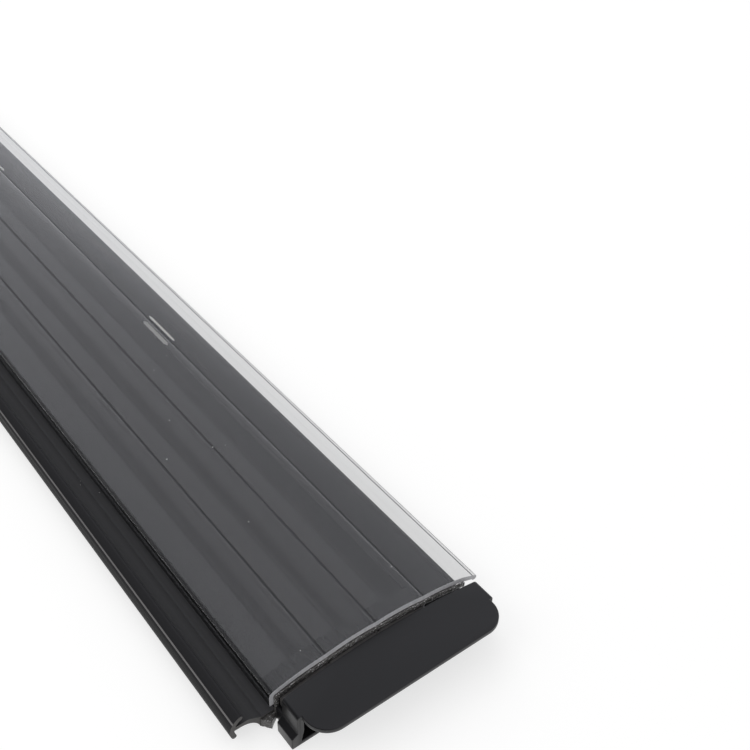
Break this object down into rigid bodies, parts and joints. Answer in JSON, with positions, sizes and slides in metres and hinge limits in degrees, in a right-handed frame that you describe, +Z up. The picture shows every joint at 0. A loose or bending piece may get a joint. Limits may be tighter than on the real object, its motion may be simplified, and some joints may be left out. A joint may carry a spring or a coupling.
{
  "type": "hollow polycarbonate slat",
  "caption": "Hollow two-tone plastic slat of a floating pool cover, with a hook rail along one edge, an open hook channel along the other and a plugged end cap.",
  "frame": {"origin": "centre of the bounding box's underside, on the floor that the slat lies on", "axes": "+Y along the slat away from its end cap, +Z up through the clear top, hook rail on the -X side"},
  "size_m": [0.0712, 0.3664, 0.0127],
  "materials": {
    "clear": "clear polycarbonate, glossy",
    "black": "black polycarbonate, glossy",
    "cap_black": "black moulded plastic, satin",
    "adhesive": "cured clear-brown adhesive"
  },
  "bodies": {
    "root": {"clear_top": "clear", "black_base": "black", "end_cap": "cap_black", "adhesive_bead": "adhesive"}
  },
  "joints": []
}
